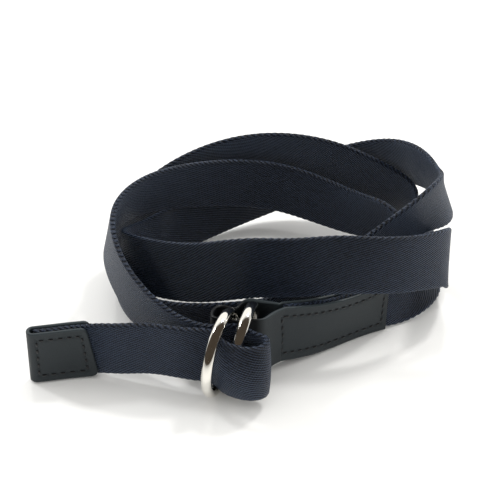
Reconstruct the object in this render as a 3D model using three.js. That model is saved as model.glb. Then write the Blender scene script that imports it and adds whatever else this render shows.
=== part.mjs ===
// A tape belt laid down in a coil: webbing standing on its edge, goes round three times,
// and is fastened through two round rings that a folded leather tab holds.
// Millimetres, +Z up, -Y toward the viewer. The floor is z = 0.
import * as THREE from "three";

// Driving dimensions.
const WEBBING_WIDTH = 20; // height of the band that stands on its edge
const WEBBING_THICKNESS = 1.8;
const LEATHER_THICKNESS = 1.1;
const FIT_GAP = 0.3; // air between two pieces that touch on the real belt

const COIL_WIDTH = 140; // unit of the coil's plan: left to right, where its rows say 100

const RING_WIRE = 3; // the ring's wire, across the ring's plane it is wider:
const RING_WIRE_WIDE = 3.5;
const RING_PLAY = 2.8; // bore of a ring over the webbing's width
// x, y: the outer ring's centre in hundredths of COIL_WIDTH; yaw: degrees from -Y toward -X
// of its level diameter; tilt: degrees that its top leans to the right
const OUTER_RING = { x: -6.57, y: -51.43, yaw: 18, tilt: 5 };
// right, back: mm from the outer ring's centre to the inner one's
const INNER_RING = { right: 7.2, back: 3.8, yaw: 14, tilt: 7 };

const TAB_LENGTH = 43.2; // the leather that lies on the webbing, behind the rings
const LOOP_SLACK = 0.8; // the leather stands off the rings by this much more
const TIP_LENGTH = 21; // the leather over the free end
const TIP_CORNER = 2.5; // radius of its two free corners
const TAIL_LENGTH = 58.3; // webbing from the outer ring to the free end

const SAMPLE_STEP = 3.2; // spacing of the sections along a straight run
const BEND_STEP = 0.9; // and in the tight turns
const STRIPS_ACROSS = 4; // facets over the width
const WIRE_SIDES = 14;
const RING_SIDES = 56;

// Worked out.
const HALF_WIDTH = WEBBING_WIDTH / 2;
const LAYER_OFFSET = (WEBBING_THICKNESS + LEATHER_THICKNESS) / 2 + FIT_GAP;
const RING_BORE = WEBBING_WIDTH + RING_PLAY;
const RING_RADIUS = (RING_BORE + RING_WIRE) / 2; // to the wire's centre
const BAND_HEIGHT = RING_WIRE + RING_BORE / 2; // mid height of what passes through the rings
// how far from a ring's centre a flat band can pass through its bore
const BORE_REACH =
  Math.sqrt((RING_BORE / 2) ** 2 - HALF_WIDTH ** 2) - WEBBING_THICKNESS / 2 - FIT_GAP;

const UP = new THREE.Vector3(0, 0, 1);
const radians = THREE.MathUtils.degToRad;

// A ring's centre, its level diameter toward the viewer, its level axis to the right,
// and the diameter that stands up, leaning by the tilt.
function ringFrame({ x, y, yaw, tilt }) {
  const a = radians(yaw),
    lean = radians(tilt);
  const near = new THREE.Vector3(-Math.sin(a), -Math.cos(a), 0);
  const along = new THREE.Vector3(Math.cos(a), -Math.sin(a), 0);
  const high = UP.clone().multiplyScalar(Math.cos(lean)).addScaledVector(along, Math.sin(lean));
  const height = RING_RADIUS * Math.cos(lean) + RING_WIRE_WIDE / 2;
  return { centre: new THREE.Vector3(x, y, height), near, along, high };
}
const OUTER = ringFrame({
  ...OUTER_RING,
  x: (OUTER_RING.x * COIL_WIDTH) / 100,
  y: (OUTER_RING.y * COIL_WIDTH) / 100,
});
const INNER = ringFrame({
  ...INNER_RING,
  x: OUTER.centre.x + INNER_RING.right,
  y: OUTER.centre.y + INNER_RING.back,
});

// The coil, anticlockwise from the leather tab to the rings.
// x, y: centre of the band in hundredths of COIL_WIDTH; rise: its lower edge over the floor in
// hundredths of the webbing's width; lean: degrees, + where the upper edge leans into the coil.
const COIL = [
  // first turn: the tab, then under the third turn's fold at the right
  { x: 6.8, y: -42.4, rise: 20, lean: 0 },
  { x: 14.3, y: -38.0, rise: 9, lean: -5 },
  { x: 23.7, y: -31.7, rise: 4, lean: -10 },
  { x: 32.6, y: -25.0, rise: 3, lean: 3 },
  { x: 38.8, y: -16.6, rise: 2, lean: 44 },
  { x: 42.0, y: -7.9, rise: 2, lean: 66 },
  { x: 42.4, y: 1.4, rise: 2, lean: 72 },
  { x: 43.9, y: 9.3, rise: 5, lean: 62 },
  { x: 44.2, y: 16.9, rise: 20, lean: 30 },
  // its back rises over the second turn's, and comes down at the left
  { x: 34.1, y: 21.2, rise: 63, lean: 16 },
  { x: 18.8, y: 22.1, rise: 109, lean: 19 },
  { x: 1.6, y: 21.0, rise: 125, lean: 21 },
  { x: -14.4, y: 18.1, rise: 96, lean: 14 },
  { x: -27.1, y: 10.6, rise: 50, lean: 1 },
  { x: -33.9, y: -1.4, rise: 10, lean: -5 },
  { x: -32.5, y: -16.4, rise: 2, lean: -6 },
  { x: -25.9, y: -29.7, rise: 2, lean: -18 },
  { x: -14.4, y: -35.4, rise: 2, lean: -14 },
  // second turn: low at the front left, climbs to the highest place at the right
  { x: -3.6, y: -35.7, rise: 2, lean: -9 },
  { x: 5.0, y: -33.4, rise: 3, lean: -9 },
  { x: 19.0, y: -27.2, rise: 40, lean: -9 },
  { x: 34.2, y: -19.8, rise: 102, lean: -10 },
  { x: 43.9, y: -11.7, rise: 131, lean: -7 },
  { x: 48.4, y: -3.2, rise: 123, lean: 15 },
  { x: 47.2, y: 8.6, rise: 121, lean: 20 },
  { x: 39.6, y: 21.4, rise: 107, lean: 18 },
  { x: 20.6, y: 28.7, rise: 56, lean: 14 },
  { x: 1.4, y: 25.6, rise: 12, lean: 9 },
  { x: -16.9, y: 13.1, rise: 2, lean: -2 },
  { x: -28.8, y: -1.9, rise: 12, lean: 0 },
  // the innermost turn at the left, then the front band that rests on the edges below it
  { x: -31.2, y: -12.9, rise: 38, lean: 4 },
  { x: -26.0, y: -21.6, rise: 58, lean: 8 },
  { x: -11.4, y: -30.9, rise: 83, lean: 15 },
  { x: 0.0, y: -34.5, rise: 106, lean: 14 },
  { x: 10.0, y: -35.4, rise: 110, lean: 12 },
  { x: 20.0, y: -35.1, rise: 114, lean: 10 },
  { x: 29.7, y: -34.4, rise: 110, lean: 6 },
  { x: 42.0, y: -28.1, rise: 92, lean: 5 },
  // the sharp fold at the right
  { x: 46.9, y: -22.1, rise: 75, lean: 4 },
  { x: 47.4, y: -16.7, rise: 51, lean: -2 },
  { x: 44.4, y: -8.4, rise: 21, lean: 26 },
  // third turn: back over the second, round the outside at the left, down to the rings
  { x: 37.9, y: 1.3, rise: 48, lean: 27 },
  { x: 30.3, y: 8.0, rise: 40, lean: 12 },
  { x: 8.9, y: 15.0, rise: 70, lean: 4 },
  { x: -14.0, y: 9.1, rise: 100, lean: 12 },
  { x: -28.5, y: -3.1, rise: 118, lean: 22 },
  { x: -33.7, y: -17.0, rise: 108, lean: 13 },
  { x: -30.9, y: -30.2, rise: 82, lean: 0 },
  { x: -20.7, y: -44.1, rise: 40, lean: -4 },
];

// Through the buckle. ring: whose centre the row starts from; along: mm on the rings' axis;
// near: mm toward the viewer, from the centre; cup: mm that the middle of the width stands out
// to the right of the travel.
const outside = RING_RADIUS + RING_WIRE / 2 + WEBBING_THICKNESS / 2 + FIT_GAP;
const BUCKLE = [
  { ring: OUTER, along: -0.6, near: -0.8, cup: 0 },
  { ring: INNER, along: -0.6, near: BORE_REACH - 1.4, cup: 0 },
  { ring: INNER, along: 4.2, near: BORE_REACH + 1.2, cup: 0 },
  { ring: INNER, along: 9.2, near: outside - 7.6, cup: -0.4 },
  { ring: INNER, along: 9.2, near: outside - 4.4, cup: -1.0 },
  { ring: INNER, along: 5.6, near: outside - 1.9, cup: -2.0 },
  { ring: INNER, along: 0.4, near: outside - 2.2, cup: -2.4 },
  { ring: INNER, along: -3.8, near: outside - 4.3, cup: -2.2 },
  { ring: OUTER, along: -0.8, near: BORE_REACH - 1.3, cup: -1 },
];

// The free end, from the outer ring to the tip. run: hundredths of TAIL_LENGTH; swing: degrees
// of the direction from -X toward +Y; rise and lean as above: + toward the viewer here.
const TAIL = [
  { run: 13, swing: 10, rise: 25, lean: 3 },
  { run: 37, swing: 13, rise: 24, lean: 6 },
  { run: 54, swing: 15, rise: 15, lean: 7 },
  { run: 69, swing: 16, rise: 7, lean: 7 },
  { run: 87, swing: -6, rise: 5, lean: 7 },
  { run: 100, swing: -12, rise: 5, lean: 7 },
];

// The leather's way round the far sides of both rings, columns as in BUCKLE.
const past = RING_RADIUS + RING_WIRE / 2 + LEATHER_THICKNESS / 2 + FIT_GAP + LOOP_SLACK;
const TAB_LOOP = [
  { ring: INNER, along: 7.4, near: -5.2, cup: 0 },
  { ring: INNER, along: 5.6, near: -2.0, cup: 0 },
  { ring: INNER, along: 2.2, near: -0.7, cup: 0 },
  { ring: OUTER, along: 4.4, near: -5.0, cup: 0 },
  { ring: OUTER, along: 0.2, near: -4.7, cup: 0 },
  { ring: OUTER, along: -3.9, near: -4.9, cup: 0 },
  { ring: OUTER, along: -5.2, near: -8.4, cup: -0.6 },
  { ring: OUTER, along: -3.6, near: 4.0 - past, cup: -2.6 },
  { ring: OUTER, along: 0.4, near: 3.8 - past, cup: -3.8 },
  { ring: INNER, along: -2.0, near: 3.4 - past, cup: -3.6 },
  { ring: INNER, along: 2.4, near: 3.2 - past, cup: -3.0 },
];

// Natural cubic spline through rows of numbers, over their straight distance in x, y, z.
function spline(rows) {
  const t = [0];
  for (let i = 1; i < rows.length; i++)
    t.push(t[i - 1] + Math.hypot(...[0, 1, 2].map((k) => rows[i][k] - rows[i - 1][k])));
  const n = t.length;
  const bend = rows[0].map((_, k) => {
    // second derivatives by forward elimination and back substitution
    const c = new Array(n).fill(0),
      d = new Array(n).fill(0),
      m = new Array(n).fill(0);
    for (let i = 1; i < n - 1; i++) {
      const a = t[i] - t[i - 1],
        b = t[i + 1] - t[i];
      const right = 6 * ((rows[i + 1][k] - rows[i][k]) / b - (rows[i][k] - rows[i - 1][k]) / a);
      const p = 2 * (a + b) - a * c[i - 1];
      c[i] = b / p;
      d[i] = (right - a * d[i - 1]) / p;
    }
    for (let i = n - 2; i > 0; i--) m[i] = d[i] - c[i] * m[i + 1];
    return m;
  });
  const at = (s) => {
    let i = 0;
    while (i < n - 2 && s > t[i + 1]) i++;
    const h = t[i + 1] - t[i],
      v = (s - t[i]) / h,
      u = 1 - v;
    return rows[0].map(
      (_, k) =>
        u * rows[i][k] +
        v * rows[i + 1][k] +
        ((u ** 3 - u) * bend[k][i] + (v ** 3 - v) * bend[k][i + 1]) * (h * h / 6),
    );
  };
  return { at, length: t[n - 1], marks: t };
}

// Sections along a route of rows [x, y, z, lean in radians, cup], closer together in the bends.
function sections(rows) {
  const route = spline(rows);
  const fine = [];
  const count = Math.ceil(route.length / 0.45);
  for (let i = 0; i <= count; i++) {
    const s = (route.length * i) / count;
    const [x, y, z, lean, cup] = route.at(s);
    const ahead = route.at(Math.min(s + 0.05, route.length)),
      back = route.at(Math.max(s - 0.05, 0));
    const travel = new THREE.Vector3(ahead[0] - back[0], ahead[1] - back[1], ahead[2] - back[2]);
    travel.normalize();
    const upright = UP.clone().addScaledVector(travel, -travel.z).normalize();
    const right = new THREE.Vector3().crossVectors(travel, upright);
    const across = upright.clone().multiplyScalar(Math.cos(lean));
    across.addScaledVector(right, -Math.sin(lean));
    const out = new THREE.Vector3().crossVectors(travel, across);
    fine.push({ at: new THREE.Vector3(x, y, z), travel, across, out, cup });
  }
  const kept = [fine[0]];
  for (let i = 1; i < fine.length; i++) {
    const last = kept[kept.length - 1];
    const run = fine[i].at.distanceTo(last.at);
    const turn = fine[i].travel.angleTo(last.travel) + 0.5 * fine[i].across.angleTo(last.across);
    if (run >= SAMPLE_STEP || (run >= BEND_STEP && turn > 0.12) || i === fine.length - 1)
      kept.push(fine[i]);
  }
  return kept;
}

// A closed band of one thickness through its sections. The width is kept where it is cupped:
// the arc over the width has half angle 4 cup / width.
function band(stations, width, thickness) {
  const points = [];
  const ringOf = 2 * (STRIPS_ACROSS + 1);
  for (const s of stations) {
    const span = s.span ?? width;
    const half = (4 * s.cup) / span;
    for (const side of [1, -1])
      for (let k = 0; k <= STRIPS_ACROSS; k++) {
        const v = side * (1 - (2 * k) / STRIPS_ACROSS);
        let height = (v * span) / 2,
          depth = 0,
          tilt = 0;
        if (Math.abs(half) > 1e-4) {
          const radius = span / (2 * half);
          tilt = half * v;
          height = radius * Math.sin(tilt);
          depth = radius * (Math.cos(tilt) - Math.cos(half));
        }
        const face = (side * thickness) / 2;
        const p = s.at
          .clone()
          .addScaledVector(s.across, height + face * Math.sin(tilt))
          .addScaledVector(s.out, depth + face * Math.cos(tilt));
        points.push(p.x, p.y, p.z);
      }
  }
  const faces = [];
  for (let i = 0; i + 1 < stations.length; i++)
    for (let k = 0; k < ringOf; k++) {
      const a = i * ringOf + k,
        b = i * ringOf + ((k + 1) % ringOf);
      faces.push(a, b, b + ringOf, a, b + ringOf, a + ringOf);
    }
  const last = (stations.length - 1) * ringOf;
  for (let k = 0; k < STRIPS_ACROSS; k++) {
    const o = k,
      p = k + 1,
      q = ringOf - 2 - k,
      r = ringOf - 1 - k;
    faces.push(o, r, q, o, q, p);
    faces.push(last + o, last + q, last + r, last + o, last + p, last + q);
  }
  const geometry = new THREE.BufferGeometry();
  geometry.setAttribute("position", new THREE.Float32BufferAttribute(points, 3));
  geometry.setIndex(faces);
  return geometry;
}

// height of a leaning band, with its thickness
const levelTop = (lean) =>
  WEBBING_WIDTH * Math.cos(radians(lean)) + WEBBING_THICKNESS * Math.abs(Math.sin(radians(lean)));
const coilRows = COIL.map(({ x, y, rise, lean }) => [
  (x * COIL_WIDTH) / 100,
  (y * COIL_WIDTH) / 100,
  (rise / 100) * WEBBING_WIDTH + levelTop(lean) / 2,
  radians(lean),
  0,
]);
const buckleRow = ({ ring, along, near, cup }) => {
  const p = ring.centre.clone().addScaledVector(ring.along, along).addScaledVector(ring.near, near);
  return [p.x, p.y, BAND_HEIGHT, 0, cup];
};
const buckleRows = BUCKLE.map(buckleRow);
const tailRows = [];
{
  let [x, y] = buckleRows[buckleRows.length - 1];
  let run = 0;
  for (const row of TAIL) {
    const step = ((row.run - run) / 100) * TAIL_LENGTH;
    run = row.run;
    x -= step * Math.cos(radians(row.swing));
    y += step * Math.sin(radians(row.swing));
    tailRows.push([
      x,
      y,
      (row.rise / 100) * WEBBING_WIDTH + levelTop(row.lean) / 2,
      radians(row.lean),
      0,
    ]);
  }
}
const strap = sections([...coilRows, ...buckleRows, ...tailRows]);

// The part of the strap within a length of its start or of its end.
function lengthFrom(list, length) {
  const out = [list[0]];
  let run = 0;
  for (let i = 1; i < list.length && run < length; i++) {
    const step = list[i].at.distanceTo(list[i - 1].at);
    if (run + step < length) out.push(list[i]);
    else {
      const f = (length - run) / step,
        a = list[i - 1],
        b = list[i];
      out.push({
        at: a.at.clone().lerp(b.at, f),
        travel: a.travel.clone().lerp(b.travel, f).normalize(),
        across: a.across.clone().lerp(b.across, f).normalize(),
        out: a.out.clone().lerp(b.out, f).normalize(),
        cup: 0,
      });
    }
    run += step;
  }
  return out;
}

// Leather tab: outer layer, the loop round the rings, inner layer.
const tabBed = lengthFrom(strap, TAB_LENGTH);
const shifted = (s, side) => ({ ...s, at: s.at.clone().addScaledVector(s.out, side * LAYER_OFFSET) });
const turned = (s) => ({ ...s, out: s.out.clone().negate(), travel: s.travel.clone().negate() });
const outerLayer = tabBed.map((s) => turned(shifted(s, 1))).reverse();
const innerLayer = tabBed.map((s) => shifted(s, -1));
const loopRows = TAB_LOOP.map(buckleRow);
loopRows.unshift([...outerLayer[outerLayer.length - 1].at, 0, 0]);
loopRows.push([...innerLayer[0].at, 0, 0]);
const tab = [...outerLayer, ...sections(loopRows).slice(1, -1), ...innerLayer];

// Leather tip: a layer on the viewer's face, a half turn past the strap's end, a layer on the
// other face. Its two free ends have round corners.
const tipBed = lengthFrom([...strap].reverse(), TIP_LENGTH - LAYER_OFFSET - LEATHER_THICKNESS / 2);
const tipEnd = tipBed[0];
const tip = [
  ...tipBed.map((s) => shifted(s, -1)).reverse(),
  ...[30, 60, 90, 120, 150].map((angle) => {
    const c = Math.cos(radians(angle)),
      d = Math.sin(radians(angle));
    const { at, travel, out } = tipEnd;
    return {
      ...tipEnd,
      at: at.clone().addScaledVector(out, -c * LAYER_OFFSET).addScaledVector(travel, d * LAYER_OFFSET),
      travel: travel.clone().multiplyScalar(c).addScaledVector(out, d),
      out: out.clone().multiplyScalar(c).addScaledVector(travel, -d),
    };
  }),
  ...tipBed.map((s) => turned(shifted(s, 1))),
];

// Adds sections near both ends of a band, narrowed along a quarter circle.
function roundCorners(list, width, radius) {
  const corner = (a, b) => {
    const reach = a.at.distanceTo(b.at);
    return [1, 0.8, 0.55, 0.25, 0].map((f) => {
      const cut = radius * (1 - Math.sqrt(1 - f * f));
      return {
        ...a,
        at: a.at.clone().lerp(b.at, Math.min(1, (radius * (1 - f)) / reach)),
        span: width - 2 * cut,
      };
    });
  };
  const inner = list.filter(
    (s) =>
      s.at.distanceTo(list[0].at) > radius + 0.5 &&
      s.at.distanceTo(list[list.length - 1].at) > radius + 0.5,
  );
  return [
    ...corner(list[0], inner[0]),
    ...inner,
    ...corner(list[list.length - 1], inner[inner.length - 1]).reverse(),
  ];
}

function ringGeometry({ centre, near, high }) {
  const geometry = new THREE.TorusGeometry(RING_RADIUS, RING_WIRE / 2, WIRE_SIDES, RING_SIDES);
  geometry.scale(1, 1, RING_WIRE_WIDE / RING_WIRE);
  // the torus lies in XY: its X goes to the near side and its Y to the high side
  const axis = new THREE.Vector3().crossVectors(near, high);
  geometry.applyMatrix4(new THREE.Matrix4().makeBasis(near, high, axis));
  geometry.translate(centre.x, centre.y, centre.z);
  return geometry;
}

const webbing = new THREE.MeshStandardMaterial({ color: 0x1d2636, roughness: 0.75, metalness: 0 });
const leather = new THREE.MeshStandardMaterial({ color: 0x2c3236, roughness: 0.45, metalness: 0 });
const silver = new THREE.MeshStandardMaterial({ color: 0xd8d5cc, roughness: 0.15, metalness: 1 });

const belt = new THREE.Group();
belt.name = "tape_belt";
function add(name, geometry, material) {
  const mesh = new THREE.Mesh(geometry, material);
  mesh.name = name;
  belt.add(mesh);
}
add("webbing_strap", band(strap, WEBBING_WIDTH, WEBBING_THICKNESS), webbing);
add("tab_leather", band(tab, WEBBING_WIDTH, LEATHER_THICKNESS), leather);
const tipSections = roundCorners(tip, WEBBING_WIDTH, TIP_CORNER);
add("tip_leather", band(tipSections, WEBBING_WIDTH, LEATHER_THICKNESS), leather);
add("ring_outer", ringGeometry(OUTER), silver);
add("ring_inner", ringGeometry(INNER), silver);

// The part's origin is the middle of its footprint, on the floor.
const box = new THREE.Box3().setFromObject(belt, true);
belt.position.set(-(box.min.x + box.max.x) / 2, -(box.min.y + box.max.y) / 2, -box.min.z);

export default belt;
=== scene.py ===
"""A tape belt laid down in a coil on its edge, fastened through two round rings.

Lengths are millimetres of the drawing, whose zero lies under the coil's middle, and meshes are
made in metres, in the part's own frame.
"""
import bpy
import numpy as np
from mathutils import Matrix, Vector


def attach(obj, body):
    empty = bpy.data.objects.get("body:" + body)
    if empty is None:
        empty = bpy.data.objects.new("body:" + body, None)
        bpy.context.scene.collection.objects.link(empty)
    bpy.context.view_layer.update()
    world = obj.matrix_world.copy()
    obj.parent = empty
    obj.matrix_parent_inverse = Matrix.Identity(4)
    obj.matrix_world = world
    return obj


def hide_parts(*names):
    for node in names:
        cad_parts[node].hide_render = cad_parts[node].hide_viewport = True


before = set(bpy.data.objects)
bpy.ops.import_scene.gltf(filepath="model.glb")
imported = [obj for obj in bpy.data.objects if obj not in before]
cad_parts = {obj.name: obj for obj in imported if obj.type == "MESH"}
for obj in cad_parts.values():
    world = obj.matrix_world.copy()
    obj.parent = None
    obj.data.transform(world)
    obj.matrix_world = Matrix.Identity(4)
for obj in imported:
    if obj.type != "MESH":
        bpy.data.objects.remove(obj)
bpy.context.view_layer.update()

# The view: a camera on a tripod in front of the belt, 30 degrees over the floor, with a long
# lens. The drawing's zero lies at DRAWING_ZERO, in millimetres of the part's frame.
DRAWING_ZERO = np.array([-1.062, 21.117, -0.256])
CAMERA_AIM = np.array([0.0, 0.0, 10.0])
CAMERA_DISTANCE = 470.0
CAMERA_ELEVATION = np.radians(30.0)


def metres(points):
    """Points of the drawing, in millimetres, as metres in the part's frame."""
    return (np.asarray(points, float) + DRAWING_ZERO) * 0.001


lens = bpy.data.cameras.new("camera")
lens.sensor_width = 36.0
lens.lens = 93.6
lens.clip_start = 0.01
camera = bpy.data.objects.new("camera", lens)
bpy.context.scene.collection.objects.link(camera)
back = np.array([0.0, -np.cos(CAMERA_ELEVATION), np.sin(CAMERA_ELEVATION)])
camera.location = metres(CAMERA_AIM + CAMERA_DISTANCE * back)
camera.rotation_euler = (np.pi / 2 - CAMERA_ELEVATION, 0.0, 0.0)
bpy.context.scene.camera = camera

# The webbing: one length of navy twill tape, woven 20 mm wide and 1.8 mm thick, with a corded
# selvedge. It stands on its edge, goes round three times, passes through both rings, back
# round the inner one and out between them, and ends in the leather tip.
WIDTH = 20.0
THICKNESS = 1.8
COIL_WIDTH = 140.0
RING_WIRE = 3.0
RING_WIRE_WIDE = 3.5
RING_BORE = WIDTH + 2.8
RING_RADIUS = (RING_BORE + RING_WIRE) / 2
FIT_GAP = 0.3
TAIL_LENGTH = 58.3
BAND_HEIGHT = RING_WIRE + RING_BORE / 2
BORE_REACH = np.sqrt((RING_BORE / 2) ** 2 - (WIDTH / 2) ** 2) - THICKNESS / 2 - FIT_GAP
OUTSIDE = RING_RADIUS + RING_WIRE / 2 + THICKNESS / 2 + FIT_GAP
UP = np.array([0.0, 0.0, 1.0])

# x, y of the band's middle in hundredths of COIL_WIDTH; rise of its lower edge over the floor
# in hundredths of WIDTH; lean in degrees, + where the upper edge leans into the coil
COIL = np.array([
    # first turn: the tab, then under the third turn's fold at the right
    (6.8, -42.4, 20, 0), (14.3, -38.0, 9, -5), (23.7, -31.7, 4, -10), (32.6, -25.0, 3, 3),
    (38.8, -16.6, 2, 44), (42.0, -7.9, 2, 66), (42.4, 1.4, 2, 72), (43.9, 9.3, 5, 62),
    (44.2, 16.9, 20, 30),
    # its back rises over the second turn's, and comes down at the left
    (34.1, 21.2, 63, 16), (18.8, 22.1, 109, 19), (1.6, 21.0, 125, 21), (-14.4, 18.1, 96, 14),
    (-27.1, 10.6, 50, 1), (-33.9, -1.4, 10, -5), (-32.5, -16.4, 2, -6), (-25.9, -29.7, 2, -18),
    (-14.4, -35.4, 2, -14), (-3.6, -35.7, 2, -9), (5.0, -33.4, 3, -9),
    # second turn: over the tab, round the right at the top, down at the back
    (19.0, -27.2, 40, -9), (34.2, -19.8, 102, -10), (43.9, -11.7, 131, -7), (48.4, -3.2, 123, 15),
    (47.2, 8.6, 121, 20), (39.6, 21.4, 107, 18), (20.6, 28.7, 56, 14), (1.4, 25.6, 12, 9),
    (-16.9, 13.1, 2, -2), (-28.8, -1.9, 12, 0), (-31.2, -12.9, 38, 4), (-26.0, -21.6, 58, 8),
    # third turn: the front span, the fold at the right, inside the back, round the left
    (-11.4, -30.9, 83, 15), (0.0, -34.5, 106, 14), (10.0, -35.4, 110, 12), (20.0, -35.1, 114, 10),
    (29.7, -34.4, 110, 6),
    (42.0, -28.1, 92, 5), (46.9, -22.1, 75, 4), (47.4, -16.7, 51, -2), (44.4, -8.4, 21, 26),
    (37.9, 1.3, 48, 27), (30.3, 8.0, 40, 12), (8.9, 15.0, 70, 4), (-14.0, 9.1, 100, 12),
    (-28.5, -3.1, 118, 22), (-33.7, -17.0, 108, 13), (-30.9, -30.2, 82, 0), (-20.7, -44.1, 40, -4),
])


def ring_frame(x, y, yaw, tilt):
    """A ring's centre on the floor, its level diameter toward the viewer, its axis to the
    right, and the diameter that stands up, leaning by the tilt."""
    a, lean = np.radians(yaw), np.radians(tilt)
    near = np.array([-np.sin(a), -np.cos(a), 0.0])
    along = np.array([np.cos(a), -np.sin(a), 0.0])
    high = UP * np.cos(lean) + along * np.sin(lean)
    centre = np.array([x, y, RING_RADIUS * np.cos(lean) + RING_WIRE_WIDE / 2])
    return {"centre": centre, "near": near, "along": along, "high": high}


OUTER = ring_frame(-0.0657 * COIL_WIDTH, -0.5143 * COIL_WIDTH, yaw=18, tilt=5)
INNER = ring_frame(OUTER["centre"][0] + 7.2, OUTER["centre"][1] + 3.8, yaw=14, tilt=7)


def by_ring(table):
    """Rows ring, along, near, cup as route rows x, y, z, lean, cup: mm from a ring's centre
    along its axis and toward the viewer, at the height of what passes through it."""
    rows = []
    for ring, along, near, cup in table:
        x, y, _ = ring["centre"] + along * ring["along"] + near * ring["near"]
        rows.append((x, y, BAND_HEIGHT, 0.0, cup))
    return rows


BUCKLE = by_ring([
    (OUTER, -0.6, -0.8, 0.0),
    (INNER, -0.6, BORE_REACH - 1.4, 0.0),
    (INNER, 4.2, BORE_REACH + 1.2, 0.0),
    (INNER, 9.2, OUTSIDE - 7.6, -0.4),
    (INNER, 9.2, OUTSIDE - 4.4, -1.0),
    (INNER, 5.6, OUTSIDE - 1.9, -2.0),
    (INNER, 0.4, OUTSIDE - 2.2, -2.4),
    (INNER, -3.8, OUTSIDE - 4.3, -2.2),
    (OUTER, -0.8, BORE_REACH - 1.3, -1.0),
])

# run in hundredths of TAIL_LENGTH, direction in degrees from -X toward +Y, and rise and lean
# as in COIL
TAIL = np.array([
    (13, 10, 25, 3), (37, 13, 24, 6), (54, 15, 15, 7), (69, 16, 7, 7), (87, -6, 5, 7),
    (100, -12, 5, 7),
])


def mid_height(rise, lean):
    """Height of the band's middle: its lower edge, and half of the leaning band's height."""
    tall = WIDTH * np.cos(np.radians(lean)) + THICKNESS * np.abs(np.sin(np.radians(lean)))
    return rise / 100 * WIDTH + tall / 2


coil_rows = np.column_stack([
    COIL[:, 0] / 100 * COIL_WIDTH,
    COIL[:, 1] / 100 * COIL_WIDTH,
    mid_height(COIL[:, 2], COIL[:, 3]),
    np.radians(COIL[:, 3]),
    np.zeros(len(COIL)),
])
tail_step = np.diff(TAIL[:, 0], prepend=0) / 100 * TAIL_LENGTH
swing = np.radians(TAIL[:, 1])
tail_rows = np.column_stack([
    BUCKLE[-1][0] - np.cumsum(tail_step * np.cos(swing)),
    BUCKLE[-1][1] + np.cumsum(tail_step * np.sin(swing)),
    mid_height(TAIL[:, 2], TAIL[:, 3]),
    np.radians(TAIL[:, 3]),
    np.zeros(len(TAIL)),
])
strap_rows = np.vstack([coil_rows, np.array(BUCKLE), tail_rows])


def spline(rows):
    """Natural cubic spline through rows, over their straight distance in x, y, z. Between two
    rows h apart, with u + v = 1, it is u p + v q + ((u^3 - u) P + (v^3 - v) Q) h^2 / 6, where
    the second derivatives P, Q solve one tridiagonal system. Returns the function and length."""
    t = np.r_[0, np.cumsum(np.linalg.norm(np.diff(rows[:, :3], axis=0), axis=1))]
    h = np.diff(t)[:, None]
    slope = np.diff(rows, axis=0) / h
    system = np.diag(np.r_[1, 2 * (h[:-1, 0] + h[1:, 0]), 1])
    system += np.diag(np.r_[h[:-1, 0], 0], -1) + np.diag(np.r_[0, h[1:, 0]], 1)
    right = np.zeros_like(rows)
    right[1:-1] = 6 * np.diff(slope, axis=0)
    bend = np.linalg.solve(system, right)

    def at(s):
        i = np.clip(np.searchsorted(t, s, side="left") - 1, 0, len(t) - 2)
        v = ((s - t[i]) / h[i, 0])[:, None]
        u = 1 - v
        curve = (u ** 3 - u) * bend[i] + (v ** 3 - v) * bend[i + 1]
        return u * rows[i] + v * rows[i + 1] + curve * h[i] ** 2 / 6

    return at, t[-1]


def unit(vectors):
    """Vectors of length one."""
    return vectors / np.linalg.norm(vectors, axis=-1, keepdims=True)


def sections(rows, step):
    """Sections along a route, step apart: the place, the direction of travel, the direction
    across the band, which is upright turned about the travel by the lean, and the direction
    out of its face, which is travel x across."""
    at, length = spline(rows)
    s = np.linspace(0, length, int(np.ceil(length / step)) + 1)
    here = at(s)
    travel = unit((at(np.minimum(s + 0.05, length)) - at(np.maximum(s - 0.05, 0)))[:, :3])
    upright = unit(UP - travel * travel[:, 2:])
    lean = here[:, 3:4]
    across = upright * np.cos(lean) - np.cross(travel, upright) * np.sin(lean)
    return {"at": here[:, :3], "travel": travel, "across": across,
            "out": np.cross(travel, across), "cup": here[:, 4]}


def run_of(band):
    """Length along a band, at each of its sections."""
    return np.r_[0, np.cumsum(np.linalg.norm(np.diff(band["at"], axis=0), axis=1))]


def taken(band, keep):
    """Some of a band's sections, by index."""
    return {key: value[keep] for key, value in band.items()}


def on_band(band, a, d):
    """Points of a band at a mm across its width and d mm out of its middle surface; a and d
    are one row a section. Where the band is cupped, its width is an arc of half angle
    4 cup / width, and a point lies on that arc, d out along the arc's radius."""
    half = 4 * band["cup"] / WIDTH
    half = np.where(np.abs(half) < 1e-4, 1e-4, half)[:, None]
    radius = WIDTH / (2 * half)
    turn = half * a / (WIDTH / 2)
    high = radius * np.sin(turn) + d * np.sin(turn)
    deep = radius * (np.cos(turn) - np.cos(half)) + d * np.cos(turn)
    return (band["at"][:, None] + high[..., None] * band["across"][:, None]
            + deep[..., None] * band["out"][:, None])


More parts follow.
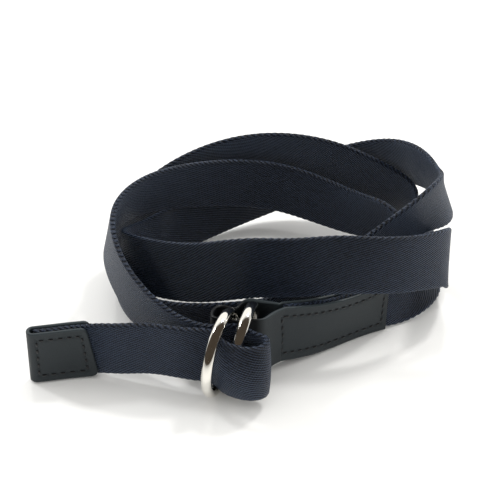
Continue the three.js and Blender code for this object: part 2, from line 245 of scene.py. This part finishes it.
def closed_tube(name, grid, run, across):
    """A mesh over a grid of points whose rows close round the piece: quads between the rows,
    one face at each end, and a UV map that holds the length along the piece and the distance
    across it, both in decimetres."""
    rows, round_ = grid.shape[:2]
    first = np.arange(rows * round_).reshape(rows, round_)
    ahead = np.roll(first, -1, axis=1)
    quads = np.stack([first[:-1], ahead[:-1], ahead[1:], first[1:]], axis=-1).reshape(-1, 4)
    faces = quads.tolist() + [first[0, ::-1].tolist(), first[-1].tolist()]
    mesh = bpy.data.meshes.new(name)
    mesh.from_pydata(metres(grid.reshape(-1, 3)).tolist(), [], faces)
    corner = np.zeros(len(mesh.loops), dtype=np.int32)
    mesh.loops.foreach_get("vertex_index", corner)
    places = np.stack([np.broadcast_to(run, grid.shape[:2]).ravel(),
                       np.broadcast_to(across, grid.shape[:2]).ravel()], axis=-1) / 100
    mesh.uv_layers.new(name="weave").data.foreach_set("uv", places[corner].astype("f4").ravel())
    mesh.shade_smooth()
    mesh.update()
    return mesh


def show(name, mesh, material, slot, *nodes):
    """Puts a finished mesh in the scene as a piece that rides on the belt's one body and
    stands for these CAD nodes."""
    piece = bpy.data.objects.new(name, mesh)
    bpy.context.scene.collection.objects.link(piece)
    mesh.materials.append(material)
    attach(piece, "root")
    if nodes:
        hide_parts(*nodes)
    return piece


SELVEDGE_ROUND = 0.75
CORD_PITCH = 2.3
CORD_BULGE = 0.3
CORD_SLANT = 0.9
STRAP_STEP = 0.46
FACE_COLUMNS = 13
strap = sections(strap_rows, STRAP_STEP)
strap_run = run_of(strap)[:, None]
flat = np.linspace(1, -1, FACE_COLUMNS) * (WIDTH / 2 - SELVEDGE_ROUND)
arc = np.linspace(0, np.pi, 8)[1:-1]
across_profile = np.r_[flat, -(WIDTH / 2 - SELVEDGE_ROUND) - SELVEDGE_ROUND * np.sin(arc),
                       flat[::-1], (WIDTH / 2 - SELVEDGE_ROUND) + SELVEDGE_ROUND * np.sin(arc)]
level, none = np.ones(FACE_COLUMNS), np.zeros(FACE_COLUMNS)
out_profile = np.r_[level, np.cos(arc), -level, -np.cos(arc)] * THICKNESS / 2
edge = np.r_[none, -np.sin(arc), none, np.sin(arc)]
# the selvedge's cord wraps slantwise over the edge: |cos| of the run, shifted with the depth
wrap = np.abs(np.cos(np.pi * (strap_run + CORD_SLANT * out_profile) / CORD_PITCH))
a = across_profile + CORD_BULGE * (wrap - 0.75) * edge
strap_mesh = closed_tube("webbing_tape", on_band(strap, a, out_profile + 0 * a), strap_run, a)


class Number:
    """A number socket of a material's nodes, on which Python's operators add Math nodes."""

    def __init__(self, finish, socket):
        self.finish = finish
        self.socket = socket

    def math(self, operation, *values):
        return self.finish.node("ShaderNodeMath", {"operation": operation}, *values)

    def __add__(self, other):
        return self.math("ADD", self, other)

    def __sub__(self, other):
        return self.math("SUBTRACT", self, other)

    def __rsub__(self, other):
        return self.math("SUBTRACT", other, self)

    def __mul__(self, other):
        return self.math("MULTIPLY", self, other)

    def __truediv__(self, other):
        return self.math("DIVIDE", self, other)

    def __pow__(self, other):
        return self.math("POWER", self, other)

    def __abs__(self):
        return self.math("ABSOLUTE", self)

    __radd__ = __add__
    __rmul__ = __mul__

    def sin(self):
        return self.math("SINE", self)

    def clamped(self):
        return self.math("MINIMUM", self.math("MAXIMUM", self, 0.0), 1.0)


class Finish:
    """A material made of procedural nodes, ending in one Principled shader."""

    def __init__(self, name, **constants):
        self.material = bpy.data.materials.new(name)
        self.material.use_nodes = True
        self.tree = self.material.node_tree
        self.tree.nodes.clear()
        self.shader = self.tree.nodes.new("ShaderNodeBsdfPrincipled")
        output = self.tree.nodes.new("ShaderNodeOutputMaterial")
        self.tree.links.new(self.shader.outputs[0], output.inputs["Surface"])
        for socket, value in constants.items():
            self.shader.inputs[socket.replace("_", " ")].default_value = value

    def set(self, sockets, values):
        """Puts values or links into sockets, by place or by name."""
        for key, value in values:
            if isinstance(value, Number):
                self.tree.links.new(value.socket, sockets[key])
            else:
                sockets[key].default_value = value

    def node(self, kind, settings, *values, take=0, **named):
        """Adds a node: first its settings, then the values or links of its sockets. Returns
        one of its outputs."""
        node = self.tree.nodes.new(kind)
        for key, value in settings.items():
            setattr(node, key, value)
        self.set(node.inputs, enumerate(values))
        self.set(node.inputs, [(key.replace("_", " "), value) for key, value in named.items()])
        return Number(self, node.outputs[take])

    def blend(self, factor, low, high):
        """A colour between two, low at 0 and high at 1."""
        node = self.tree.nodes.new("ShaderNodeMix")
        node.data_type = "RGBA"
        self.set(node.inputs, [(0, factor), (6, low), (7, high)])
        return Number(self, node.outputs[2])

    def noise(self, place, scale, detail):
        return self.node("ShaderNodeTexNoise", {}, Vector=place, Scale=scale, Detail=detail)

    def place(self):
        """Object coordinates, in metres."""
        return self.node("ShaderNodeTexCoord", {}, take=3)

    def along_and_across(self):
        """The UV map's two numbers, in millimetres."""
        uv = self.node("ShaderNodeUVMap", {"uv_map": "weave"})
        return [self.node("ShaderNodeSeparateXYZ", {}, uv, take=k) * 100.0 for k in (0, 1)]

    def bump(self, height, strength, distance):
        return self.node("ShaderNodeBump", {}, Strength=strength, Distance=distance,
                         Height=height)

    def finish(self, **sockets):
        self.set(self.shader.inputs,
                 [(key.replace("_", " "), value) for key, value in sockets.items()])
        return self.material


# the weave: slanting ribs, the yarns that cross them, a firm selvedge and fine fuzz; painted
# highlights, glints of the lamps, sit where a rib and a yarn stand highest
RIB_PITCH = 0.8
RIB_SLOPE = np.tan(np.radians(22))
YARN_ALONG = 1.1
YARN_ACROSS = 0.55
SELVEDGE_HIGHLIGHT_WIDTH = 1.3
SELVEDGE_HIGHLIGHT_FADE = 0.6
NAVY_HOLLOW = (0.0005, 0.0008, 0.0018, 1)
NAVY_RIDGE = (0.019, 0.028, 0.050, 1)
twill = Finish("navy_twill", Sheen_Weight=0.22, Sheen_Roughness=0.25,
               Sheen_Tint=(0.45, 0.60, 0.90, 1.0), Specular_IOR_Level=0.25)
run, across = twill.along_and_across()
rib_at = (across - run * RIB_SLOPE) * (np.pi / RIB_PITCH)
rib = abs(rib_at.sin())
yarn = abs((run * (np.pi / YARN_ALONG) + across * (np.pi / YARN_ACROSS)).sin())
fuzz = twill.noise(twill.place(), 1400.0, 3.0)
cloudy = twill.noise(twill.place(), 90.0, 3.0)
# painted highlight: the selvedge is painted a little paler, where its cord catches the light
selvedge_highlight = ((abs(across) - (WIDTH / 2 - SELVEDGE_HIGHLIGHT_WIDTH)) / SELVEDGE_HIGHLIGHT_FADE).clamped()
# painted highlight: small glints of lamp light painted into the colour
painted_glint = (rib * yarn) ** 3.0 * (fuzz * 5.0 - 2.1).clamped()
ridge = ((rib - 0.4) * 2.0).clamped()
tone = (ridge * 0.8 + yarn * 0.25 + fuzz * 0.8 - 0.75).clamped()
tone = (tone * (cloudy * 0.9 + 0.4) + selvedge_highlight * 0.12).clamped()
tone = tone + painted_glint * 4.0
twill_material = twill.finish(
    Base_Color=twill.blend(tone, NAVY_HOLLOW, NAVY_RIDGE),
    Roughness=0.33 + fuzz * 0.25,
    Normal=twill.bump(rib * 0.9 + yarn * 0.3 + fuzz * 0.4, 0.9, 0.0005),
)
webbing = show("webbing_tape", strap_mesh, twill_material, "webbing", "webbing_strap")

# The leather tab: a strip of dark grey leather, 1.1 mm thick, folded round the far sides of
# both rings and laid on the two faces of the webbing's end, to which one rectangle of black
# thread sews it. Its cut edges are rubbed smooth.
LEATHER = 1.1
LAYER_OFFSET = (THICKNESS + LEATHER) / 2 + FIT_GAP
TAB_LENGTH = 43.2
LOOP_SLACK = 0.8
PAST = RING_RADIUS + RING_WIRE / 2 + LEATHER / 2 + FIT_GAP + LOOP_SLACK
TAB_LOOP = by_ring([
    (INNER, 7.4, -5.2, 0.0),
    (INNER, 5.6, -2.0, 0.0),
    (INNER, 2.2, -0.7, 0.0),
    (OUTER, 4.4, -5.0, 0.0),
    (OUTER, 0.2, -4.7, 0.0),
    (OUTER, -3.9, -4.9, 0.0),
    (OUTER, -5.2, -8.4, -0.6),
    (OUTER, -3.6, 4.0 - PAST, -2.6),
    (OUTER, 0.4, 3.8 - PAST, -3.8),
    (INNER, -2.0, 3.4 - PAST, -3.6),
    (INNER, 2.4, 3.2 - PAST, -3.0),
])
LEATHER_STEP = 0.3


def layer(band, side, turned):
    """A leather layer on one face of a band, side times LAYER_OFFSET out, and read the other
    way where it is turned."""
    made = dict(band, at=band["at"] + side * LAYER_OFFSET * band["out"])
    if turned:
        made = {key: value[::-1] for key, value in made.items()}
        made["out"], made["travel"] = -made["out"], -made["travel"]
    return made


def joined(*bands):
    """One band out of several, end to end."""
    return {key: np.concatenate([band[key] for band in bands]) for key in bands[0]}


fine = sections(strap_rows, LEATHER_STEP)
fine_run = run_of(fine)
tab_bed = taken(fine, fine_run <= TAB_LENGTH)
outer_layer = layer(tab_bed, 1, True)
inner_layer = layer(tab_bed, -1, False)
loop_rows = np.vstack([[*outer_layer["at"][-1], 0, 0], np.array(TAB_LOOP),
                       [*inner_layer["at"][0], 0, 0]])
loop = sections(loop_rows, LEATHER_STEP)
tab = joined(outer_layer, taken(loop, slice(1, -1)), inner_layer)
tab_run = run_of(tab)

STITCH_PITCH = 2.9
HOLE = 0.42
DIMPLE_DEPTH = 0.3
GROOVE = 0.75
GROOVE_DEPTH = 0.13
EDGE_ROUND = 0.3
END_ROUND = 0.25
LEATHER_COLUMNS = 61


def seam(u0, u1, a0, a1, slant=0.0):
    """The needle holes of a sewn rectangle, at about STITCH_PITCH, in order round it, as run
    and place across. The corner at u1, a1 lies further along by the slant."""
    corners = np.array([(u0, a0), (u1, a0), (u1 + slant, a1), (u0, a1), (u0, a0)], float)
    holes = []
    for p, q in zip(corners[:-1], corners[1:]):
        count = int(round(np.linalg.norm(q - p) / STITCH_PITCH))
        holes.append(p + (q - p) * (np.arange(count) / count)[:, None])
    return np.concatenate(holes)


def sewn_leather(name, band, run, seams, corner):
    """A leather strip with rounded edges whose outer face (-out) is drawn in by the thread:
    a groove exp(-(distance to the seam / GROOVE)^2) and a deeper dimple at each hole. The
    width follows a quarter circle at both ends."""
    columns = np.linspace(1, -1, LEATHER_COLUMNS)
    face = np.ones(LEATHER_COLUMNS)
    turn = np.linspace(0, np.pi, 6)[1:-1]
    length = run[-1]
    near_end = np.minimum(run, length - run)
    cut = np.clip(corner - near_end, 0, corner)
    trim = corner - np.sqrt(np.maximum(corner ** 2 - cut ** 2, 0))
    half = (WIDTH / 2 - trim - EDGE_ROUND)[:, None]
    a = np.hstack([half * columns, -half - EDGE_ROUND * np.sin(turn),
                   half * columns[::-1], half + EDGE_ROUND * np.sin(turn)])
    thick = LEATHER / 2 * np.sqrt(np.clip(near_end / END_ROUND, 0.15, 1))[:, None]
    side = np.r_[face, np.cos(turn), -face, -np.cos(turn)]
    d = thick * side
    u = run[:, None] + 0 * a
    groove = np.zeros_like(a)
    dimple = np.zeros_like(a)
    for holes in seams:
        for p, q in zip(holes, np.roll(holes, -1, axis=0)):
            box = (u > min(p[0], q[0]) - 2) & (u < max(p[0], q[0]) + 2) & (side < 0)
            if not box.any():
                continue
            along = q - p
            share = ((u[box] - p[0]) * along[0] + (a[box] - p[1]) * along[1]) / (along @ along)
            share = np.clip(share, 0, 1)
            far = np.hypot(u[box] - p[0] - share * along[0], a[box] - p[1] - share * along[1])
            groove[box] = np.maximum(groove[box], np.exp(-(far / GROOVE) ** 2))
            hole = np.hypot(u[box] - p[0], a[box] - p[1])
            dimple[box] = np.maximum(dimple[box], np.exp(-(hole / HOLE) ** 2))
    d = d + (GROOVE_DEPTH * groove + DIMPLE_DEPTH * dimple) * (side < 0)
    return closed_tube(name, on_band(band, a, d), u, a)


# the leather: pebbled grain with pores, a painted highlight along the cut edges, and painted
# shade, near black, from 52 mm off each end, where it is folded round the rings under the webbing
# painted shade: the fold round the rings, shaded by the webbing over it, is painted near black
PAINTED_SHADE_FROM = 52.0
PAINTED_SHADE_FADE = 3.0
EDGE_HIGHLIGHT_WIDTH = 0.7
LEATHER_DARK = (0.010, 0.014, 0.017, 1)
LEATHER_PALE = (0.028, 0.037, 0.042, 1)
LEATHER_PAINTED_SHADE = (0.003, 0.004, 0.005, 1)
tab_total = tab_run[-1]
grain = Finish("dark_leather", Specular_IOR_Level=0.3)
place = grain.place()
run, across = grain.along_and_across()
# painted highlight: the cut edges are painted paler, where they catch the light
edge_highlight = (1.0 - (WIDTH / 2 - abs(across)) / EDGE_HIGHLIGHT_WIDTH).clamped()
cells = grain.node("ShaderNodeTexVoronoi", {"feature": "DISTANCE_TO_EDGE"}, Vector=place,
                   Scale=1700.0)
pores = grain.noise(place, 2600.0, 3.0)
patchy = grain.noise(place, 70.0, 3.0)
tone = (patchy * 0.6 + pores * 0.4 - 0.15 + edge_highlight * 0.8).clamped()
begin = ((run - PAINTED_SHADE_FROM) / PAINTED_SHADE_FADE).clamped()
cease = ((tab_total - PAINTED_SHADE_FROM - run) / PAINTED_SHADE_FADE).clamped()
plain = grain.blend(tone, LEATHER_DARK, LEATHER_PALE)
leather_material = grain.finish(
    Base_Color=grain.blend(begin * cease, plain, LEATHER_PAINTED_SHADE),
    Roughness=0.40 + patchy * 0.2 - edge_highlight * 0.12,
    Normal=grain.bump(cells * 1.2 + pores * 0.4, 0.25, 0.0002),
)

# one seam: from the free end to the loop, 3.2 mm inside the cut edges; the same on both layers
TAB_CORNER = 0.4
tab_seam = seam(2.4, TAB_LENGTH - 0.6, -6.8, 6.8, slant=2.2)
tab_seams = [tab_seam, np.column_stack([tab_total - tab_seam[:, 0], tab_seam[:, 1]])]
tab_mesh = sewn_leather("leather_tab", tab, tab_run, tab_seams, TAB_CORNER)
show("leather_tab", tab_mesh, leather_material, "leather", "tab_leather")

# The leather tip: a second strip of the same leather, folded over the webbing's free end with
# the fold at the very end and the two free corners rounded, and sewn through with a rectangle.
TIP_LENGTH = 21.0
TIP_CORNER = 2.5
tip_bed = taken(fine, slice(None, None, -1))
tip_bed = taken(tip_bed, run_of(tip_bed) <= TIP_LENGTH - LAYER_OFFSET - LEATHER / 2)
end = {key: value[0] for key, value in tip_bed.items()}
bend = np.radians(np.arange(10, 180, 10))[:, None]
fold = {
    "at": end["at"] - np.cos(bend) * LAYER_OFFSET * end["out"]
    + np.sin(bend) * LAYER_OFFSET * end["travel"],
    "travel": end["travel"] * np.cos(bend) + end["out"] * np.sin(bend),
    "across": np.repeat(end["across"][None], len(bend), axis=0),
    "out": end["out"] * np.cos(bend) - end["travel"] * np.sin(bend),
    "cup": np.zeros(len(bend)),
}
near_layer = {key: value[::-1] for key, value in layer(tip_bed, -1, False).items()}
far_layer = layer(taken(tip_bed, slice(None, None, -1)), 1, True)
tip = joined(near_layer, fold, far_layer)
tip_run = run_of(tip)
tip_total = tip_run[-1]
tip_seam = seam(2.6, TIP_LENGTH - 3.6, -7.2, 7.2)
tip_seams = [tip_seam, np.column_stack([tip_total - tip_seam[:, 0], tip_seam[:, 1]])]
tip_mesh = sewn_leather("leather_tip", tip, tip_run, tip_seams, TIP_CORNER)
show("leather_tip", tip_mesh, leather_material, "leather", "tip_leather")

# The thread: black waxed thread, sewn by machine through both layers of leather and the
# webbing between them, so that the same rectangle shows on both faces.
THREAD_RADIUS = 0.33
THREAD_SINK = 0.24
THREAD_RISE = 0.16
STITCH_START = 0.22
STITCH_SHARE = 0.56
THREAD_BLACK = (0.002, 0.002, 0.003, 1)
THREAD_WAXY = (0.012, 0.012, 0.014, 1)


def thread(name, band, run, seams):
    """Stitches, each a capsule of THREAD_RADIUS from one needle hole toward the next, over
    STITCH_SHARE of the way. Its middle line rises and sinks as sin(pi s)^0.6, and its radius
    closes at both ends as sqrt(1 - (2 s - 1)^6)."""
    s = np.linspace(0, 1, 9)
    angle = np.linspace(0, 2 * np.pi, 8, endpoint=False)
    grids = []
    for holes in seams:
        p, q = holes, np.roll(holes, -1, axis=0)
        place = p[:, None] + (q - p)[:, None] * (STITCH_START + STITCH_SHARE * s)[None, :, None]
        lift = THREAD_RISE * np.sin(np.pi * s) ** 0.6 - THREAD_SINK
        thick = THREAD_RADIUS * (1 - (2 * s - 1) ** 6) ** 0.5 + 0.01
        u = place[..., 0].ravel()
        at = {key: np.stack([np.interp(u, run, band[key][:, k]) for k in range(3)], -1)
              for key in ("at", "across", "out", "travel")}
        cup = np.interp(u, run, band["cup"])
        middle = on_band(dict(at, cup=cup), place[..., 1].ravel()[:, None],
                         np.tile(-LEATHER / 2 - lift, len(p))[:, None])[:, 0]
        heading = unit(q - p)
        aside = (at["travel"] * np.repeat(-heading[:, 1], len(s))[:, None]
                 + at["across"] * np.repeat(heading[:, 0], len(s))[:, None])
        wide = np.tile(thick, len(p))[:, None, None]
        grid = (middle[:, None] + wide * (np.cos(angle)[None, :, None] * aside[:, None]
                - np.sin(angle)[None, :, None] * at["out"][:, None]))
        grids.append(grid.reshape(len(p), len(s), len(angle), 3))
    grid = np.concatenate(grids)
    count = len(grid)
    first = np.arange(count * len(s) * len(angle)).reshape(count, len(s), len(angle))
    ahead = np.roll(first, -1, axis=2)
    quads = np.stack([first[:, :-1], ahead[:, :-1], ahead[:, 1:], first[:, 1:]], axis=-1)
    faces = quads.reshape(-1, 4).tolist() + first[:, 0, ::-1].tolist() + first[:, -1].tolist()
    mesh = bpy.data.meshes.new(name)
    mesh.from_pydata(metres(grid.reshape(-1, 3)).tolist(), [], faces)
    mesh.shade_smooth()
    mesh.update()
    return mesh


waxed = Finish("black_thread", Roughness=0.45, Specular_IOR_Level=0.5)
strands = waxed.noise(waxed.place(), 3000.0, 2.0)
thread_material = waxed.finish(
    Base_Color=waxed.blend(strands, THREAD_BLACK, THREAD_WAXY),
    Normal=waxed.bump(strands, 0.4, 0.0001),
)
tab_thread = thread("tab_stitches", tab, tab_run, tab_seams)
show("tab_stitches", tab_thread, thread_material, "leather")
tip_thread = thread("tip_stitches", tip, tip_run, tip_seams)
show("tip_stitches", tip_thread, thread_material, "leather")

# The rings: two closed rings of round steel wire, a little wider than deep, polished and
# plated bright silver. The fold of the tab holds both, and the webbing runs through them.
RING_STEPS = 160
WIRE_STEPS = 36
PLATE_WORN = (0.78, 0.76, 0.70, 1)
PLATE_BRIGHT = (0.86, 0.84, 0.79, 1)
bright = Finish("silver_plate", Metallic=1.0)
place = bright.place()
worn = bright.noise(place, 160.0, 4.0)
scratches = bright.noise(place, 900.0, 3.0)
plate_material = bright.finish(
    Base_Color=bright.blend(worn, PLATE_WORN, PLATE_BRIGHT),
    Roughness=0.06 + worn * 0.05,
    Normal=bright.bump(scratches, 0.03, 0.0002),
)


def ring_mesh(name, ring):
    """A closed ring: round the centre at RING_RADIUS, in the plane of near and high, a section
    of RING_WIRE across that plane's radius by RING_WIRE_WIDE along the ring's axis."""
    turn = np.linspace(0, 2 * np.pi, RING_STEPS, endpoint=False)[:, None, None]
    wire = np.linspace(0, 2 * np.pi, WIRE_STEPS, endpoint=False)[None, :, None]
    axis = np.cross(ring["near"], ring["high"])
    away = np.cos(turn) * ring["near"] + np.sin(turn) * ring["high"]
    grid = (ring["centre"] + away * (RING_RADIUS + RING_WIRE / 2 * np.cos(wire))
            + axis * RING_WIRE_WIDE / 2 * np.sin(wire))
    first = np.arange(RING_STEPS * WIRE_STEPS).reshape(RING_STEPS, WIRE_STEPS)
    right, ahead = np.roll(first, -1, axis=1), np.roll(first, -1, axis=0)
    faces = np.stack([first, ahead, np.roll(ahead, -1, axis=1), right], axis=-1).reshape(-1, 4)
    mesh = bpy.data.meshes.new(name)
    mesh.from_pydata(metres(grid.reshape(-1, 3)).tolist(), [], faces.tolist())
    mesh.shade_smooth()
    mesh.update()
    return mesh


show("outer_ring", ring_mesh("outer_ring", OUTER), plate_material, "ring_metal", "ring_outer")
show("inner_ring", ring_mesh("inner_ring", INNER), plate_material, "ring_metal", "ring_inner")

# The table: a glossy white surface that the belt stands on. It is scenery, and isn't part of
# the belt.
TABLE_REACH = 2.5
TABLE_SHADE = (0.86, 0.86, 0.85, 1)
TABLE_WHITE = (0.88, 0.88, 0.87, 1)
gloss = Finish("white_table", Specular_IOR_Level=0.5)
white = gloss.noise(gloss.place(), 3.0, 1.0)
table_material = gloss.finish(
    Base_Color=gloss.blend(white, TABLE_SHADE, TABLE_WHITE),
    Roughness=0.12,
)
table_mesh = bpy.data.meshes.new("table")
table_mesh.from_pydata([(-TABLE_REACH, -TABLE_REACH, 0), (TABLE_REACH, -TABLE_REACH, 0),
                        (TABLE_REACH, TABLE_REACH, 0), (-TABLE_REACH, TABLE_REACH, 0)],
                       [], [(0, 1, 2, 3)])
table_mesh.materials.append(table_material)
table = bpy.data.objects.new("table", table_mesh)
bpy.context.scene.collection.objects.link(table)

# The light: two small lamps over the table, behind the belt at both sides, in a pale room. In
# what shines, the room is mirrored dark brown, apart from its far side, which stays pale.
LAMP_SIZE = 0.15
ROOM_PALE = (1.0, 0.99, 0.97, 1)
ROOM_STRENGTH = 1.2
ROOM_BROWN = (0.060, 0.046, 0.034, 1)
FAR_SIDE = 0.45
NEAR_SIDE = 0.25


def soft_light(name, place, power, colour):
    """A square lamp at a place, turned to the belt."""
    data = bpy.data.lights.new(name, "AREA")
    data.size = LAMP_SIZE
    data.energy = power
    data.color = colour
    lamp = bpy.data.objects.new(name, data)
    lamp.location = place
    bpy.context.scene.collection.objects.link(lamp)
    lamp.rotation_euler = (-Vector(place)).to_track_quat("-Z", "Y").to_euler()


soft_light("light_right", (0.45, 0.45, 1.0), power=4.5, colour=(1.0, 0.99, 0.97))
soft_light("light_left", (-0.7, 0.35, 0.8), power=2.6, colour=(0.97, 0.99, 1.0))
world = bpy.data.worlds.new("room")
world.use_nodes = True
bpy.context.scene.world = world
nodes, links = world.node_tree.nodes, world.node_tree.links
nodes.clear()
ray = nodes.new("ShaderNodeLightPath")
pale, brown = nodes.new("ShaderNodeBackground"), nodes.new("ShaderNodeBackground")
pale.inputs["Color"].default_value = ROOM_PALE
pale.inputs["Strength"].default_value = ROOM_STRENGTH
brown.inputs["Color"].default_value = ROOM_BROWN
choose, room = nodes.new("ShaderNodeMixShader"), nodes.new("ShaderNodeOutputWorld")
direction, split = nodes.new("ShaderNodeTexCoord"), nodes.new("ShaderNodeSeparateXYZ")
# 0 for a direction whose Y is over FAR_SIDE, 1 for one whose Y is below NEAR_SIDE
front, both = nodes.new("ShaderNodeMapRange"), nodes.new("ShaderNodeMath")
front.inputs["From Min"].default_value = FAR_SIDE
front.inputs["From Max"].default_value = NEAR_SIDE
both.operation = "MULTIPLY"
links.new(direction.outputs["Generated"], split.inputs[0])
links.new(split.outputs["Y"], front.inputs["Value"])
links.new(front.outputs[0], both.inputs[0])
links.new(ray.outputs["Is Glossy Ray"], both.inputs[1])
links.new(both.outputs[0], choose.inputs[0])
links.new(pale.outputs[0], choose.inputs[1])
links.new(brown.outputs[0], choose.inputs[2])
links.new(choose.outputs[0], room.inputs["Surface"])
bpy.context.scene.view_settings.view_transform = "Standard"
